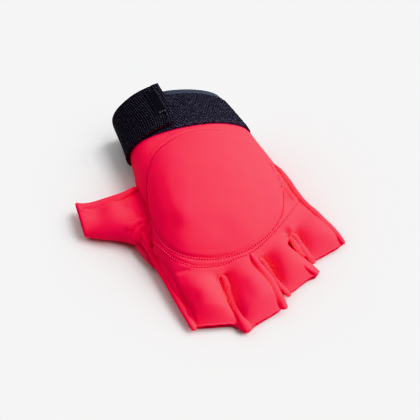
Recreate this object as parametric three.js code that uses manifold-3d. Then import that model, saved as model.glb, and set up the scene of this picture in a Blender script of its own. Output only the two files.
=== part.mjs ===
// A field hockey glove for the left hand, with half fingers, lying palm down.
// Millimetres, +Z up. The fingers point along -Y, the thumb along -X and the wrist along +Y.
// The padded back, the finger panel and the palm are one hollow form, cut apart at their seams.
import * as THREE from 'three';
import { mergeVertices } from 'three/addons/utils/BufferGeometryUtils.js';
import Module from 'manifold-3d';

const wasm = await Module();
wasm.setup();

// Driving dimensions
const GAP = 0.3; // between two pieces that are sewn or pressed together
const BACK_WALL = 5; // foam and cover on the back of the hand
const SIDE_WALL = 3.2;
const PALM_WALL = 1.8;
const THUMB_WALL = 2.2;
const SEAM_HEIGHT = 4; // where the back meets the palm
const RIM_RADIUS = 1.9; // the rolled edge of the panels
const RIM_SIDES = 6;
const RIM_STEPS = 12;
const PAD_RISE = 8; // the raised pad's height over the back
const PAD_EDGE = 1; // its thickness at the stitching
const FAR = 200; // past every piece

// The hand's cross-sections, from past the wrist to the knuckles. Crown is where the back is highest,
// widest the height of the two sides and palm_left the thumb side of the palm fabric. Steep and under are the
// squareness of the thumb side and of the underside.
const HAND = [
  { y: 104, left: -28, right: 41, crown: 5, top: 40.5, widest: 19, floor: 4.6, palm_left: -28, steep: 1.8, under: 2.4 },
  { y: 80, left: -30, right: 44.5, crown: 5, top: 39.5, widest: 19, floor: 4.5, palm_left: -30, steep: 1.8, under: 2.4 },
  { y: 62, left: -31.8, right: 48, crown: 3, top: 38.6, widest: 18, floor: 4.2, palm_left: -31.8, steep: 1.9, under: 2.5 },
  { y: 50, left: -34.6, right: 50.8, crown: 0, top: 38.6, widest: 15, floor: 2.4, palm_left: -34.6, steep: 2.7, under: 3 },
  { y: 38, left: -37.8, right: 53.4, crown: -2, top: 38.6, widest: 11, floor: 0.9, palm_left: -37.8, steep: 3, under: 4 },
  { y: 20, left: -41, right: 57.6, crown: -6, top: 38, widest: 6.5, floor: 0, palm_left: -42, steep: 3, under: 5.5 },
  { y: 5, left: -43.6, right: 60.4, crown: -10, top: 36.5, widest: 4.2, floor: 0, palm_left: -47.5, steep: 3, under: 7 },
  { y: -6, left: -45, right: 62, crown: -12, top: 34.5, widest: 4, floor: 0, palm_left: -50.4, steep: 3, under: 7 },
  { y: -20, left: -46, right: 64, crown: -14, top: 31, widest: 4, floor: 0, palm_left: -47.4, steep: 3, under: 7 },
  { y: -34, left: -46, right: 65.5, crown: -14, top: 26, widest: 4, floor: 0, palm_left: -46, steep: 3, under: 7 },
  { y: -44, left: -45.5, right: 66.5, crown: -12, top: 21, widest: 4, floor: 0, palm_left: -45.5, steep: 3, under: 7 },
  { y: -52, left: -45, right: 67, crown: -10, top: 16, widest: 4, floor: 0, palm_left: -45, steep: 3, under: 7 },
];
const LITTLE_SIDE_POWER = 2; // a gentle slope on the little finger's side
const HAND_TURNS = 40;
const HAND_STEP = 8;

// The four stalls. X and y are the middle of the finger at the knuckle line and turn its splay in degrees.
// Slant is how far the mouth runs ahead for each millimetre towards the little finger.
const FINGERS = [
  { name: 'index', x: -30, y: -40, turn: 0, half: 13, reach: 34, top: 22.5, slant: 0.34 },
  { name: 'middle', x: -1.3, y: -40, turn: 2.2, half: 13.5, reach: 41.8, top: 23, slant: -0.14 },
  { name: 'ring', x: 23.3, y: -37, turn: 17.5, half: 12, reach: 32.4, top: 21.5, slant: 0 },
  { name: 'little', x: 49, y: -27, turn: 20.6, half: 12, reach: 28.4, top: 19.5, slant: 0.21 },
];
// Each stall's domed form, in shares of its reach, height over the seam and half width, and its walls.
const STALL = [
  { along: -0.45, rise: 0.4, width: 0.84, wall: 3, sole: 1.8 },
  { along: -0.15, rise: 0.76, width: 0.94, wall: 3, sole: 1.8 },
  { along: 0.15, rise: 0.95, width: 1, wall: 3, sole: 1.8 },
  { along: 0.45, rise: 0.98, width: 1, wall: 3, sole: 1.7 },
  { along: 0.75, rise: 0.68, width: 1, wall: 2.6, sole: 1.5 },
  { along: 1, rise: 0.2, width: 1, wall: 1.4, sole: 1.2 },
];
const STALL_POWER = 2.2;
const STALL_TURNS = 18;
const STALL_ROWS = 8;
const MOUTH_CLEAR = 8; // the hollow's tool runs this far past the mouth

// Where the web between two fingers ends, from the thumb's side to the little finger's.
const WEB_LINE = [
  [-FAR, -48],
  [-16, -48],
  [10.8, -46.8],
  [34, -40.2],
  [60, -24],
  [FAR, -24],
];

// The rolled edges: down both sides of each slot, and along the hand's two sides.
const RIM_LEVEL = SEAM_HEIGHT + RIM_RADIUS * 0.95;
const RIMS = [
  { name: 'thumb_side', points: [[-48.6, 4], [-46.2, -8], [-45.6, -22], [-44.8, -42], [-42.9, -69.6]] },
  { name: 'index_middle', points: [[-17.5, -77.6], [-17.6, -60], [-15.8, -47.8, 9], [-13.3, -60], [-13.2, -83.4]] },
  { name: 'middle_ring', points: [[13.6, -79], [12.6, -62], [11, -46.6, 9], [16.8, -57], [22, -70.8]] },
  { name: 'ring_little', points: [[44.8, -64.2], [40, -51], [34.2, -39.9, 9], [41.6, -46.5], [48, -55]] },
  {
    name: 'outer_side',
    points: [[55.6, 4, 15], [59, -10, 12], [62, -22, 9.6], [65.8, -37, 7.6], [70, -52, RIM_LEVEL]],
  },
];

// The seam between the back and the finger panel, and the outline of the raised pad.
const KNUCKLE_SEAM = [
  [-80, 14], [-60, 4], [-47.5, -9], [-45, -20], [-41, -28], [-35, -33.5], [-27, -38.5], [-14.5, -43], [-3, -44.8],
  [8, -44.4], [17, -42], [25, -38.6], [34, -32.6], [43.5, -24.5], [50, -18.6], [58, -12], [80, 6],
];
const PAD_OUTLINE = [
  [-40.8, -1], [-39.4, 11], [-36, 22], [-30.6, 33.4], [-21.5, 42.6], [-9, 47.8], [4.4, 49.3], [18, 47.8],
  [31.5, 44], [41.4, 38.6], [46.8, 30], [48.8, 16], [48, 0], [43.6, -15], [35.6, -27.4], [24, -35.4],
  [9, -40.6], [-5, -41.4], [-21, -38], [-33, -31], [-39.3, -21.5], [-41.2, -11],
];
const PAD_TOP = { x: 4, y: 5 };
const PAD_RINGS = [
  { share: 1, rise: 0 },
  { share: 0.96, rise: 0.2 },
  { share: 0.86, rise: 0.45 },
  { share: 0.68, rise: 0.74 },
  { share: 0.45, rise: 0.94 },
  { share: 0.2, rise: 1 },
];
const PAD_SPOKES = 40;

// The thumb stall's cross-sections along its axis, from its flared root to its mouth.
const THUMB_ROOT = { x: -32, y: 17 };
const THUMB_TURN = 19; // degrees that the thumb leans from -X towards the wrist
const THUMB_SLANT = 0.216; // how far the mouth runs ahead for each millimetre towards the wrist
const THUMB = [
  { along: 0, fore: -34, aft: 25, top: 26, floor: 0 },
  { along: 8, fore: -28, aft: 24, top: 24.5, floor: 0 },
  { along: 15, fore: -22.5, aft: 21.5, top: 22, floor: 0 },
  { along: 26, fore: -17, aft: 17, top: 19, floor: 0.3 },
  { along: 32, fore: -15.8, aft: 15.6, top: 17.5, floor: 0.8 },
  { along: 39, fore: -15, aft: 13.6, top: 16, floor: 1.4 },
  { along: 46, fore: -12.8, aft: 13.6, top: 14.5, floor: 2 },
  { along: 50.5, fore: -12.8, aft: 15.6, top: 14, floor: 2.2 },
];
const THUMB_WIDEST = 8;
const THUMB_POWER = 2.2;
const THUMB_TURNS = 20;
const THUMB_ROWS = 10;

// The wrist: its two edges slope by a share of x, and bands lie over each other on it.
const CUFF_EDGE = { y: 56, slope: -0.13 };
const CUFF_END = { y: 90.9, slope: -0.22 };
const CUFF_WALL = 3;
const CUFF_SPAN = { from: -0.36, to: 0.42 }; // turns round the wrist, from its thumb side below to its thumb side above
const PATCH_THICK = 1;
const PATCH_MARGIN = 3.4; // the cuff's edge that shows past the loop patch
const HOOK_THICK = 0.75;
const STRAP_THICK = 1.7;
const STRAP_EDGE = { y: 59, slope: -0.06 };
const STRAP_END = { y: 94, slope: -0.06 };
const STRAP_SPAN = { from: -0.727, to: -0.2 };
const LABEL_THICK = 0.6;
const BAND_TURNS = 52; // facets round the whole wrist
const SETTLING_PASSES = 6; // to find where a band's sloping edge meets the wrist

// How far the strap's inner face stands off the wrist, by its place round it in turns.
const STRAP_STAND_OFF = [
  { turn: -0.78, off: 2.9 },
  { turn: -0.7, off: 2.9 },
  { turn: -0.66, off: 2.85 },
  { turn: -0.62, off: 2.2 },
  { turn: -0.56, off: 2 },
  { turn: -0.5, off: 1.8 },
  { turn: -0.4, off: 0.9 },
  { turn: -0.32, off: 0.45 },
  { turn: -0.12, off: 0.45 },
];

// A smooth curve through one column of a table, held level past its ends.
function column(rows, along, key) {
  const sorted = [...rows].sort((a, b) => a[along] - b[along]);
  const places = sorted.map((row) => row[along]);
  const values = sorted.map((row) => row[key]);
  const curve = new THREE.CubicInterpolant(places, values, 1, [0]);
  return (place) => curve.evaluate(THREE.MathUtils.clamp(place, places[0], places.at(-1)))[0];
}

function columns(rows, along) {
  const keys = Object.keys(rows[0]).filter((key) => key !== along);
  const curves = keys.map((key) => [key, column(rows, along, key)]);
  return (place) => Object.fromEntries(curves.map(([key, curve]) => [key, curve(place)]));
}

// A solid from its points and triangles, turned right side out.
function solidOf(points, faces) {
  const made = new wasm.Manifold(new wasm.Mesh({
    numProp: 3,
    vertProperties: new Float32Array(points.flat()),
    triVerts: new Uint32Array(faces.flat()),
  }));
  if (made.volume() >= 0) return made;
  return solidOf(points, faces.map(([a, b, c]) => [a, c, b]));
}

// A solid through closed rings of points, capped at both ends.
function ringSolid(rings) {
  const count = rings[0].length;
  const faces = [];
  for (let i = 0; i + 1 < rings.length; i++) {
    for (let j = 0; j < count; j++) {
      const [a, b] = [i * count + j, i * count + ((j + 1) % count)];
      faces.push([a, b, a + count], [b, b + count, a + count]);
    }
  }
  const last = (rings.length - 1) * count;
  for (let j = 1; j + 1 < count; j++) {
    faces.push([0, j + 1, j], [last, last + j, last + j + 1]);
  }
  return solidOf(rings.flat(), faces);
}

function solidOfGeometry(geometry) {
  geometry.deleteAttribute('normal');
  geometry.deleteAttribute('uv');
  const merged = mergeVertices(geometry, 1e-4);
  const place = merged.getAttribute('position');
  const points = [];
  for (let i = 0; i < place.count; i++) points.push([place.getX(i), place.getY(i), place.getZ(i)]);
  const faces = [];
  for (let i = 0; i < merged.index.count; i += 3) faces.push([...merged.index.array.slice(i, i + 3)]);
  return solidOf(points, faces);
}

function joined(solids) {
  return solids.reduce((whole, solid) => whole.add(solid));
}

// An upright prism over an outline in plan.
function prism(outline, low = -FAR, high = FAR) {
  const shape = new THREE.Shape(outline.map(([x, y]) => new THREE.Vector2(x, y)));
  const geometry = new THREE.ExtrudeGeometry(shape, { depth: high - low, bevelEnabled: false });
  return solidOfGeometry(geometry.translate(0, 0, low));
}

function smoothLine(points, steps) {
  const places = points.map(([x, y]) => new THREE.Vector3(x, y, 0));
  return new THREE.CatmullRomCurve3(places, false, 'centripetal').getSpacedPoints(steps).map((p) => [p.x, p.y]);
}

// A point of a rounded section. Turn 0 is its right side, a quarter turn its crown and half a turn its left.
function sectionPoint(turn, section) {
  const { left, right, crown, top, floor, widest, leftPower, rightPower, under } = section;
  const across = Math.cos(turn * 2 * Math.PI);
  const up = Math.sin(turn * 2 * Math.PI);
  if (up >= 0) {
    const power = across > 0 ? rightPower : leftPower;
    const half = across > 0 ? right - crown : crown - left;
    const x = crown + Math.sign(across) * half * Math.abs(across) ** (2 / power);
    return [x, widest + (top - widest) * up ** (2 / power)];
  }
  const palmLeft = section.palmLeft ?? left;
  const middle = (palmLeft + right) / 2;
  const x = middle + Math.sign(across) * (right - palmLeft) / 2 * Math.abs(across) ** (2 / under);
  return [x, Math.max(floor, widest - (widest - floor) * 1.06 * Math.abs(up) ** (2 / under))];
}

// The hand's section at a place along it, moved out by the offsets, or in if they are negative.
const handColumns = columns(HAND, 'y');
const NO_OFFSET = { side: 0, top: 0, floor: 0 };
function handSection(y, out = NO_OFFSET) {
  const at = handColumns(y);
  const floor = Math.max(0, at.floor) - out.floor;
  return {
    left: at.left - out.side,
    right: at.right + out.side,
    crown: at.crown,
    top: at.top + out.top,
    floor,
    widest: Math.max(at.widest, floor + 1.5),
    palmLeft: at.palm_left - out.side,
    leftPower: at.steep,
    rightPower: LITTLE_SIDE_POWER,
    under: at.under,
  };
}

function handSolid(from, to, out) {
  const steps = Math.ceil((from - to) / HAND_STEP);
  const rings = [];
  for (let i = 0; i <= steps; i++) {
    const y = from + (to - from) * i / steps;
    const section = handSection(y, out);
    const ring = [];
    for (let j = 0; j < HAND_TURNS; j++) {
      const [x, z] = sectionPoint(j / HAND_TURNS, section);
      ring.push([x, y, z]);
    }
    rings.push(ring);
  }
  return ringSolid(rings);
}

const stallColumns = columns(STALL, 'along');
// A finger's solid, or with hollow set the tool for its inside, which runs out of the mouth.
function stallSolid(finger, hollow = false) {
  const turn = THREE.MathUtils.degToRad(finger.turn);
  const start = STALL[0].along;
  const rings = [];
  for (let i = 0; i <= STALL_ROWS + (hollow ? 1 : 0); i++) {
    const share = start + (1 - start) * Math.min(1, i / STALL_ROWS);
    const at = stallColumns(share);
    const wall = hollow ? at.wall : 0;
    const half = finger.half * at.width - wall * 0.9;
    const section = {
      left: -half,
      right: half,
      crown: 0,
      top: SEAM_HEIGHT + (finger.top - SEAM_HEIGHT) * at.rise - wall,
      floor: hollow ? at.sole : 0,
      widest: hollow ? SEAM_HEIGHT - 0.6 : SEAM_HEIGHT,
      leftPower: STALL_POWER,
      rightPower: STALL_POWER,
      under: 7,
    };
    const past = i > STALL_ROWS ? MOUTH_CLEAR : 0;
    const ring = [];
    for (let j = 0; j < STALL_TURNS; j++) {
      const [across, z] = sectionPoint(j / STALL_TURNS, section);
      const along = finger.reach * share + finger.slant * across * Math.max(0, share) + past;
      ring.push([
        finger.x + across * Math.cos(turn) + along * Math.sin(turn),
        finger.y + across * Math.sin(turn) - along * Math.cos(turn),
        z,
      ]);
    }
    rings.push(ring);
  }
  return ringSolid(rings);
}

const thumbColumns = columns(THUMB, 'along');
// The thumb's solid, or with a wall the tool for its hollow, longer at both ends.
function thumbSolid(wall = 0, past = 0) {
  const turn = THREE.MathUtils.degToRad(THUMB_TURN);
  const length = THUMB.at(-1).along;
  const rings = [];
  for (let i = 0; i <= THUMB_ROWS; i++) {
    const place = length * i / THUMB_ROWS;
    const at = thumbColumns(place);
    const section = {
      left: at.fore + wall,
      right: at.aft - wall,
      crown: (at.fore + at.aft) / 2,
      top: at.top - wall,
      floor: Math.max(0, at.floor) + wall,
      widest: THUMB_WIDEST,
      leftPower: THUMB_POWER,
      rightPower: THUMB_POWER,
      under: THUMB_POWER + 0.6,
    };
    const more = (i === THUMB_ROWS ? past : 0) - (i === 0 ? past : 0);
    const ring = [];
    for (let j = 0; j < THUMB_TURNS; j++) {
      const [across, z] = sectionPoint(j / THUMB_TURNS, section);
      const along = place + more + THUMB_SLANT * across * i / THUMB_ROWS;
      ring.push([
        THUMB_ROOT.x - along * Math.cos(turn) + across * Math.sin(turn),
        THUMB_ROOT.y + along * Math.sin(turn) + across * Math.cos(turn),
        z,
      ]);
    }
    rings.push(ring);
  }
  return ringSolid(rings);
}

// A rolled edge: a round cord of fabric along a smooth line.
function rimSolid({ points }, radius = RIM_RADIUS) {
  const places = points.map(([x, y, z = RIM_LEVEL]) => new THREE.Vector3(x, y, z));
  const path = new THREE.CatmullRomCurve3(places, false, 'centripetal');
  const round = new THREE.Shape(new THREE.EllipseCurve(0, 0, radius, radius).getPoints(RIM_SIDES).slice(1));
  return solidOfGeometry(new THREE.ExtrudeGeometry(round, { steps: RIM_STEPS, extrudePath: path }));
}

// A band that lies round the wrist, between two sloping edges. Off gives its faces' distances from the wrist.
function bandSolid({ from, to, low, high, off, rows = 2 }) {
  const rings = [];
  const turns = [from];
  for (let i = Math.ceil(from * BAND_TURNS + 0.2); i < to * BAND_TURNS - 0.2; i++) turns.push(i / BAND_TURNS);
  turns.push(to);
  const point = (turn, share, offset) => {
    const out = { side: offset, top: offset, floor: offset };
    let [x, y, z] = [0, 0, 0];
    for (let pass = 0; pass < SETTLING_PASSES; pass++) {
      y = (low.y + low.slope * x) * (1 - share) + (high.y + high.slope * x) * share;
      [x, z] = sectionPoint(turn, handSection(y, out));
    }
    return [x, y, z];
  };
  for (const turn of turns) {
    const [inner, outer] = off(turn);
    const ring = [];
    for (let j = 0; j <= rows; j++) ring.push(point(turn, j / rows, inner));
    for (let j = rows; j >= 0; j--) ring.push(point(turn, j / rows, outer));
    rings.push(ring);
  }
  return ringSolid(rings);
}

// The hollow form
const HAND_INSET = { side: -SIDE_WALL, top: -BACK_WALL, floor: -PALM_WALL };
const HAND_ENDS = [HAND[0].y, HAND.at(-1).y];

function webPrism(shift) {
  const line = WEB_LINE.map(([x, y]) => [x, y + shift]);
  return prism([...line, [FAR, FAR], [-FAR, FAR]]);
}

function gloveForm() {
  const hand = handSolid(...HAND_ENDS, NO_OFFSET).intersect(webPrism(0));
  const outer = joined([hand, ...FINGERS.map((finger) => stallSolid(finger)), ...RIMS.map((rim) => rimSolid(rim))]);
  const hollow = handSolid(...HAND_ENDS, HAND_INSET).intersect(webPrism(3));
  const beyond = handSolid(HAND[0].y, HAND[1].y, HAND_INSET).translate([0, MOUTH_CLEAR, 0]);
  const fingers = FINGERS.map((finger) => stallSolid(finger, true));
  return outer.subtract(joined([hollow, beyond, ...fingers, thumbSolid(THUMB_WALL, MOUTH_CLEAR)]));
}

function level(low, high) {
  return prism([[-FAR, -FAR], [FAR, -FAR], [FAR, FAR], [-FAR, FAR]], low, high);
}

const seamLine = smoothLine(KNUCKLE_SEAM, 30);
function wristSide(shift) {
  return prism([...seamLine.map(([x, y]) => [x, y + shift]), [FAR, FAR], [-FAR, FAR]]);
}

function fingerSide(shift) {
  return prism([...seamLine.map(([x, y]) => [x, y + shift]), [FAR, -FAR], [-FAR, -FAR]]);
}

function cuffCut() {
  const at = (x) => CUFF_EDGE.y + CUFF_EDGE.slope * x;
  return prism([[-FAR, at(-FAR)], [FAR, at(FAR)], [FAR, -FAR], [-FAR, -FAR]]);
}

// The raised pad: a dome over its outline, hollowed by the hand that it lies on.
function padSolid() {
  const places = PAD_OUTLINE.map(([x, y]) => new THREE.Vector3(x, y, 0));
  const outline = new THREE.CatmullRomCurve3(places, true, 'centripetal').getSpacedPoints(PAD_SPOKES);
  const height = (x, y) => {
    const section = handSection(y);
    const side = x > section.crown ? section.right - section.crown : section.crown - section.left;
    const power = x > section.crown ? section.rightPower : section.leftPower;
    const share = Math.min(1, Math.abs(x - section.crown) / side);
    return section.widest + (section.top - section.widest) * (1 - share ** power) ** (1 / power);
  };
  const rings = PAD_RINGS.map(({ share, rise }) => outline.slice(0, PAD_SPOKES).map((p) => {
    const x = PAD_TOP.x + (p.x - PAD_TOP.x) * share;
    const y = PAD_TOP.y + (p.y - PAD_TOP.y) * share;
    return [x, y, height(x, y) + GAP + PAD_EDGE + rise * PAD_RISE];
  }));
  const foot = rings[0].map(([x, y]) => [x, y, SEAM_HEIGHT]);
  const dome = ringSolid([foot, ...rings]);
  return dome.subtract(handSolid(...HAND_ENDS, { side: GAP, top: GAP, floor: 0 }));
}

// The wrist's bands
function cuffSolid() {
  return bandSolid({
    ...CUFF_SPAN, low: { y: CUFF_EDGE.y + GAP, slope: CUFF_EDGE.slope }, high: CUFF_END,
    off: () => [-CUFF_WALL, 0],
  });
}

function patchSolid() {
  return bandSolid({
    from: -0.03, to: 0.4,
    low: { y: CUFF_EDGE.y + 0.8, slope: CUFF_EDGE.slope },
    high: { y: CUFF_END.y - PATCH_MARGIN, slope: CUFF_END.slope },
    off: () => [GAP, GAP + PATCH_THICK],
  });
}

const standOff = column(STRAP_STAND_OFF, 'turn', 'off');
function strapSolid() {
  return bandSolid({
    ...STRAP_SPAN, low: STRAP_EDGE, high: STRAP_END,
    off: (turn) => [standOff(turn), standOff(turn) + STRAP_THICK],
  });
}

function hookSolid() {
  const under = 2.5 * GAP + PATCH_THICK;
  return bandSolid({
    from: 0.277, to: 0.337,
    low: { y: STRAP_EDGE.y + 1, slope: STRAP_EDGE.slope },
    high: { y: CUFF_END.y - PATCH_MARGIN - 0.5, slope: CUFF_END.slope },
    off: () => [under, under + HOOK_THICK],
  });
}

function labelSolid() {
  const under = STRAP_STAND_OFF[0].off + STRAP_THICK + 2 * GAP;
  return bandSolid({
    from: 0.284, to: 0.32,
    low: { y: 69, slope: STRAP_EDGE.slope },
    high: { y: 90, slope: STRAP_END.slope },
    off: () => [under, under + LABEL_THICK],
  });
}

function piece(name, solid, material) {
  const made = solid.getMesh();
  const geometry = new THREE.BufferGeometry();
  geometry.setAttribute('position', new THREE.BufferAttribute(made.vertProperties, 3));
  geometry.setIndex(new THREE.BufferAttribute(made.triVerts, 1));
  geometry.computeVertexNormals();
  const mesh = new THREE.Mesh(geometry, material);
  mesh.name = name;
  return mesh;
}

const coverRed = new THREE.MeshStandardMaterial({ color: 0xf5294e, roughness: 0.7, metalness: 0 });
const palmRed = new THREE.MeshStandardMaterial({ color: 0xe0264a, roughness: 0.85, metalness: 0 });
const cuffNavy = new THREE.MeshStandardMaterial({ color: 0x262c3f, roughness: 0.8, metalness: 0 });
const loopBlack = new THREE.MeshStandardMaterial({ color: 0x1d1d28, roughness: 0.95, metalness: 0 });
const elasticBlack = new THREE.MeshStandardMaterial({ color: 0x141318, roughness: 0.85, metalness: 0 });
const hookBlack = new THREE.MeshStandardMaterial({ color: 0x101014, roughness: 0.6, metalness: 0 });
const labelBlack = new THREE.MeshStandardMaterial({ color: 0x18171d, roughness: 0.5, metalness: 0 });

const form = gloveForm().intersect(cuffCut());
const upper = form.intersect(level(SEAM_HEIGHT + GAP / 2, FAR));
const thumbStall = thumbSolid()
  .subtract(thumbSolid(THUMB_WALL, MOUTH_CLEAR))
  .subtract(handSolid(...HAND_ENDS, { side: GAP * 1.2, top: GAP, floor: GAP }))
  .subtract(rimSolid(RIMS[0], RIM_RADIUS + GAP));

const glove = new THREE.Group();
glove.add(
  piece('back_panel', upper.intersect(wristSide(GAP / 2)), coverRed),
  piece('finger_panel', upper.intersect(fingerSide(-GAP / 2)), coverRed),
  piece('back_pad', padSolid(), coverRed),
  piece('palm_panel', form.intersect(level(-FAR, SEAM_HEIGHT - GAP / 2)), palmRed),
  piece('thumb_stall', thumbStall, coverRed),
  piece('cuff', cuffSolid(), cuffNavy),
  piece('loop_patch', patchSolid(), loopBlack),
  piece('wrist_strap', strapSolid(), elasticBlack),
  piece('hook_tab', hookSolid(), hookBlack),
  piece('strap_label', labelSolid(), labelBlack),
);

// The middle of the glove's footprint is the origin.
const bounds = new THREE.Box3().setFromObject(glove);
const middle = bounds.getCenter(new THREE.Vector3());
glove.position.set(-middle.x, -middle.y, -bounds.min.z);

export default glove;
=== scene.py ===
"""The looks of a half-finger field hockey glove that lies palm down.

Lengths in the tables are millimetres in the hand's frame, where -Y is towards the fingers, -X is towards the
thumb and +Z is up.
"""

import math

import bmesh
import bpy
import numpy as np
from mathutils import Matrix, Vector
from mathutils.bvhtree import BVHTree


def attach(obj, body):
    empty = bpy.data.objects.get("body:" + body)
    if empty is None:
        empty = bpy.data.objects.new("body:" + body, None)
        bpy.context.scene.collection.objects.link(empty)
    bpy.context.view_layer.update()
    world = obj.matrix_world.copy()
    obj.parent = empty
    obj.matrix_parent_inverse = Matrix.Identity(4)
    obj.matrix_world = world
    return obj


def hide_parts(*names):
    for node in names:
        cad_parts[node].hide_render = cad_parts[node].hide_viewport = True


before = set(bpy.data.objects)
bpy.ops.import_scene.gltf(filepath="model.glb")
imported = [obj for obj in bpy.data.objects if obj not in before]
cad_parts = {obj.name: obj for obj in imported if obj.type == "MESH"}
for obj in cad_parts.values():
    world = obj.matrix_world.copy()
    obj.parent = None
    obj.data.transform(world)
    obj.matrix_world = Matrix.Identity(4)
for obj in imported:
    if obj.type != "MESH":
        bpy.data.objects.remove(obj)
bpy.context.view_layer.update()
bpy.ops.object.select_all(action="DESELECT")

# The hand's frame lies this far from the part's origin, the middle of the footprint.
HAND_IN_PART = np.array((4.846, -6.0055, 0.0))
MM = 0.001
SAME_POINT = 0.002  # points of a CAD solid that are nearer than this are one

# The glove's form
SHELL_VOXEL = 0.62
SHELL_SMOOTHING = 130
SEAM_HEIGHT = 4.0
FAR = 200.0
PAD_OUTLINE = (
    (-40.8, -1), (-39.4, 11), (-36, 22), (-30.6, 33.4), (-21.5, 42.6), (-9, 47), (4.4, 47.6), (18, 45.6),
    (31, 41.6), (40.8, 36), (46.6, 28.6), (48.8, 16), (48, 0), (43.6, -15), (35.6, -27.4), (24, -35.4),
    (9, -40.6), (-5, -41.4), (-21, -38), (-33, -31), (-39.3, -21.5), (-41.2, -11),
)
KNUCKLE_SEAM = (
    (-80, 10), (-60, 1), (-47.5, -5), (-44, -9.8), (-41.6, -21.7), (-38.2, -29.4), (-33, -35.8),
    (-26.6, -40.4), (-12.5, -43.6), (-3.7, -43.7), (7.6, -42.8), (23.3, -37.4), (37.9, -28.9),
    (46.6, -22.4), (54.6, -16), (64, -8.5), (80, 4),
)
# Seams and creases pressed into the cover: depth and width of the line, and the height of its two shoulders
CREASES = {
    "pad_seam": {"knots": PAD_OUTLINE, "closed": True, "depth": 0.5, "width": 0.8, "shoulder": 0.25},
    "knuckle_seam": {"knots": KNUCKLE_SEAM, "depth": 0.35, "width": 0.7, "shoulder": 0.2},
    "side_seam": {
        "knots": ((51.6, 20), (52.6, 11.9), (53, 2.5), (53.6, -7.5), (55.2, -14.6), (57.2, -20.4)),
        "depth": 1.5, "width": 0.8, "shoulder": 0.4, "fade": 5,
    },
    "strip_side": {
        "knots": ((-46, -13), (-44.2, -22), (-43.3, -32), (-42.7, -42), (-42.1, -52), (-41.3, -62),
                  (-40.8, -70)),
        "depth": 1.2, "width": 1.0, "shoulder": 0.2, "fade": 6,
    },
    "middle_side": {
        "knots": ((4.6, -45.5), (6, -50.5), (7.2, -55.4), (9.4, -60), (10.4, -66), (10.8, -73),
                  (11.2, -79.6)),
        "depth": 1.3, "width": 0.9, "shoulder": 0.35, "fade": 5,
    },
    "index_wrinkle": {
        "knots": ((-43, -35.5), (-37, -38), (-29.6, -39.9)),
        "depth": 0.7, "width": 1.1, "shoulder": 0.35, "fade": 5,
    },
    "pucker_near_pad": {
        "knots": ((45.2, -4), (48, -11), (50, -18.5)),
        "depth": 2.0, "width": 1.1, "shoulder": 1.1, "fade": 5,
    },
    "pucker_middle": {
        "knots": ((47.4, 2), (51, -7), (53.2, -16.5)),
        "depth": 2.0, "width": 1.1, "shoulder": 1.1, "fade": 5,
    },
    "pucker_side": {
        "knots": ((48.6, 9), (51.4, 1), (54.4, -9)), "depth": 1.7, "width": 1.0, "shoulder": 0.9, "fade": 5,
    },
}
# Round swells and hollows of the cover and the pad: place, size and height
SWELLS = (
    (-24.5, -9, 8, 0.9), (-33.5, -13, 6.5, -1.3), (7, 7, 10, 0.5), (-5, -27, 6, -0.5), (9, -33, 7, 0.4),
    (-37.5, -57, 5, -1.2), (-6.8, -60, 5, -1.0), (-5.6, -68, 4.5, -0.8), (19.5, -50, 5, -0.8),
    (-27, -62, 7, 0.5), (3.5, -64, 7, 0.6),
)
THREAD_LINES = (
    ("pad_thread", PAD_OUTLINE, True),
    ("knuckle_thread", KNUCKLE_SEAM[3:-2], False),
)
STITCH = {"pitch": 1.7, "length": 1.2, "radius": 0.5, "lift": 0.26}
# The needle holes are small dark pieces set between the stitches: painted shade
HOLE = {"pitch": 1.7, "length": 0.45, "radius": 0.42, "lift": -0.04}

# The wrist's cross-sections by y, and the bands that lie over each other on it. Slopes are shares of x.
WRIST = {
    "y": (50, 62, 80, 104), "left": (-34.6, -31.8, -30, -28), "right": (50.8, 48, 44.5, 41),
    "crown": (0, 3, 5, 5), "top": (38.6, 38.6, 39.5, 40.5), "widest": (15, 18, 19, 19),
    "floor": (2.4, 4.2, 4.5, 4.6), "steep": (2.7, 1.9, 1.8, 1.8), "under": (3, 2.5, 2.4, 2.4),
}
CUFF_EDGE = (56, -0.13)
CUFF_END = (90.9, -0.22)
CUFF_WALL = 3.0
CUFF_LAP = 2.7  # how far the cover's edge lies over the cuff
THUMB_SIDE_LAP = 2.2  # and how much further on the thumb's side
PATCH_THICK = 0.6
PATCH_MARGIN = 4.4
STRAP_THICK = 1.7
STRAP_EDGE = (59, -0.06)
STRAP_END = (94, -0.06)
STRAP_STAND_OFF = (
    (-0.78, 2.9), (-0.7, 2.9), (-0.66, 2.85), (-0.62, 2.2), (-0.56, 2), (-0.5, 1.8), (-0.4, 0.9),
    (-0.32, 0.45), (-0.12, 0.45),
)
HEM_WIDTH = 4.6
HOOK_THICK = 0.75
HOOK_STAND_OFF = 1.75
LABEL_THICK = 0.5
LABEL_SINK = 0.05  # how far the label is pressed into the strap
LABEL_EDGE = (69, -0.06)
LABEL_END = (90, -0.06)
BAND_WIDTH = 35.0  # about the cuff's and the strap's
CUFF_ROUNDING = 1.1
STRAP_ROUNDING = 0.5
THIN_ROUNDING = 0.2  # of the edges of the patch, the hook tape and the label
WRIST_MIDDLE = (8.0, 75.0, 20.0)
# Where the bands lie round the wrist, in turns from the little finger's side
CUFF_SPAN = (-0.36, 0.42)
PATCH_SPAN = (-0.03, 0.4)
STRAP_SPAN = (-0.735, -0.2)
HOOK_SPAN = (0.269, 0.329)
LABEL_SPAN = (0.276, 0.3145)
LOOP_GAP = 0.82  # between the pile's loops
LOOP_RISE = 0.62
LOOP_SCATTER = 0.13
LOOP_THREAD = 0.13
PATCH_STITCH = {"pitch": 2.4, "length": 1.7, "radius": 0.28, "lift": PATCH_THICK + 0.3}
HEM_STITCH = {"pitch": 2.3, "length": 1.6, "radius": 0.26, "lift": STRAP_THICK + 0.5}
LABEL_STITCH = {"pitch": 1.8, "length": 1.25, "radius": 0.2, "lift": 0.55}

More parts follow.
